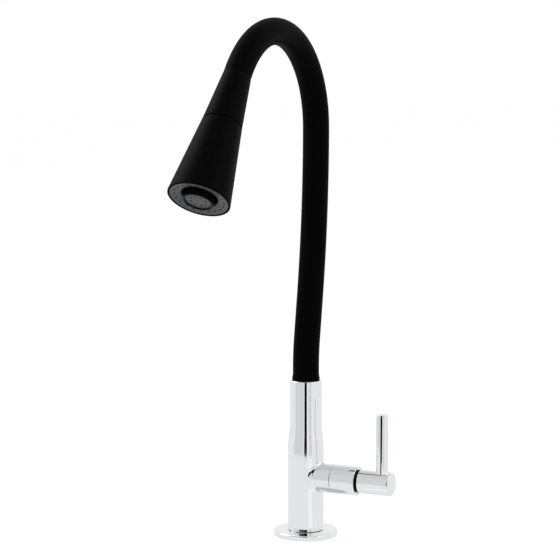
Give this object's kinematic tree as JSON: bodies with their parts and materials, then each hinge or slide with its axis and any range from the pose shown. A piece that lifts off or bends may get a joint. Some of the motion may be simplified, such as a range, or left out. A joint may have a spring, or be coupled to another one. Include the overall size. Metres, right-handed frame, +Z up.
{
  "type": "flexible kitchen faucet",
  "caption": "Deck-mounted cold-water kitchen faucet: chromed column with a side lever, and a bendable black hose that ends in a conical spray head.",
  "frame": {"origin": "centre of the gasket's underside, on the worktop, on the column's axis", "axes": "+Z up along the column, the spout reaches towards -Y, the lever's barrel points to +X"},
  "size_m": [0.1125, 0.2593, 0.5174],
  "materials": {
    "chrome": "polished chrome plating",
    "brass": "turned brass",
    "steel": "plain stainless steel",
    "silicone": "soft satin black silicone",
    "black_plastic": "fine satin black",
    "rubber": "matt black rubber",
    "grey_plastic": "satin grey",
    "white_plastic": "plain white acetal",
    "ceramic": "lapped ceramic, off-white",
    "water_tube": "milky flexible tube"
  },
  "bodies": {
    "column": {"deck_flange": "chrome", "deck_gasket": "rubber", "threaded_shank": "brass", "shank_seal": "rubber", "deck_rubber_washer": "rubber", "deck_steel_washer": "steel", "lock_nut": "brass", "body_casting": "chrome", "seat_seal": "rubber", "fixed_ceramic_disc": "ceramic", "valve_cartridge": "brass", "valve_sleeve": "chrome", "slip_washer": "white_plastic", "swivel_catch_screw": "steel"},
    "lever": {"moving_ceramic_disc": "ceramic", "spindle": "brass", "spindle_seal": "rubber", "spindle_circlip": "steel", "glide_ring": "black_plastic", "handle_hub": "chrome", "lever_pin": "chrome", "hub_set_screw": "steel"},
    "hose_root": {"swivel_nipple": "brass", "swivel_seal_lower": "rubber", "swivel_seal_upper": "rubber", "lower_crimp": "steel", "silicone_hose": "silicone", "water_tube": "water_tube", "armature_1": "steel"},
    "hose_lower": {"armature_2": "steel"},
    "hose_middle": {"armature_3": "steel"},
    "hose_upper": {"armature_4": "steel"},
    "head": {"armature_5": "steel", "head_neck_shell": "silicone", "hose_tail": "brass", "spigot_seal": "rubber", "upper_crimp": "steel", "head_snap_ring": "steel", "selector_disc": "white_plastic"},
    "spray": {"spray_cone": "silicone", "spray_waterway": "white_plastic", "nozzle_plate": "grey_plastic", "aerator_housing": "black_plastic", "aerator_washer": "rubber", "aerator_screen": "steel", "jet_disc": "grey_plastic", "aerator_cap": "black_plastic"}
  },
  "joints": [
    {"name": "lever_turn", "type": "hinge", "parent": "column", "child": "lever", "pos_m": [0.06, 0, 0.0535], "axis": [1, 0, 0], "range_deg": [0, 90]},
    {"name": "spout_swivel", "type": "hinge", "parent": "column", "child": "hose_root", "pos_m": [0, 0, 0.141], "axis": [0, 0, 1], "continuous": true},
    {"name": "hose_bend_1", "type": "hinge", "parent": "hose_root", "child": "hose_lower", "pos_m": [0, 0.00981, 0.22437], "axis": [-1, 0, 0], "range_deg": [-12, 12], "deforming": ["silicone_hose", "water_tube"]},
    {"name": "hose_bend_2", "type": "hinge", "parent": "hose_lower", "child": "hose_middle", "pos_m": [0, 0.01986, 0.32565], "axis": [-1, 0, 0], "range_deg": [-12, 12], "deforming": ["silicone_hose", "water_tube"]},
    {"name": "hose_bend_3", "type": "hinge", "parent": "hose_middle", "child": "hose_upper", "pos_m": [0, 0.00647, 0.41141], "axis": [-1, 0, 0], "range_deg": [-12, 20], "deforming": ["silicone_hose", "water_tube"]},
    {"name": "hose_bend_4", "type": "hinge", "parent": "hose_upper", "child": "head", "pos_m": [0, -0.06863, 0.45075], "axis": [-1, 0, 0], "range_deg": [-15, 25], "deforming": ["silicone_hose", "water_tube"]},
    {"name": "spray_turn", "type": "hinge", "parent": "head", "child": "spray", "pos_m": [0, -0.17198, 0.36638], "axis": [0, -0.5878, -0.809], "range_deg": [0, 90]}
  ]
}
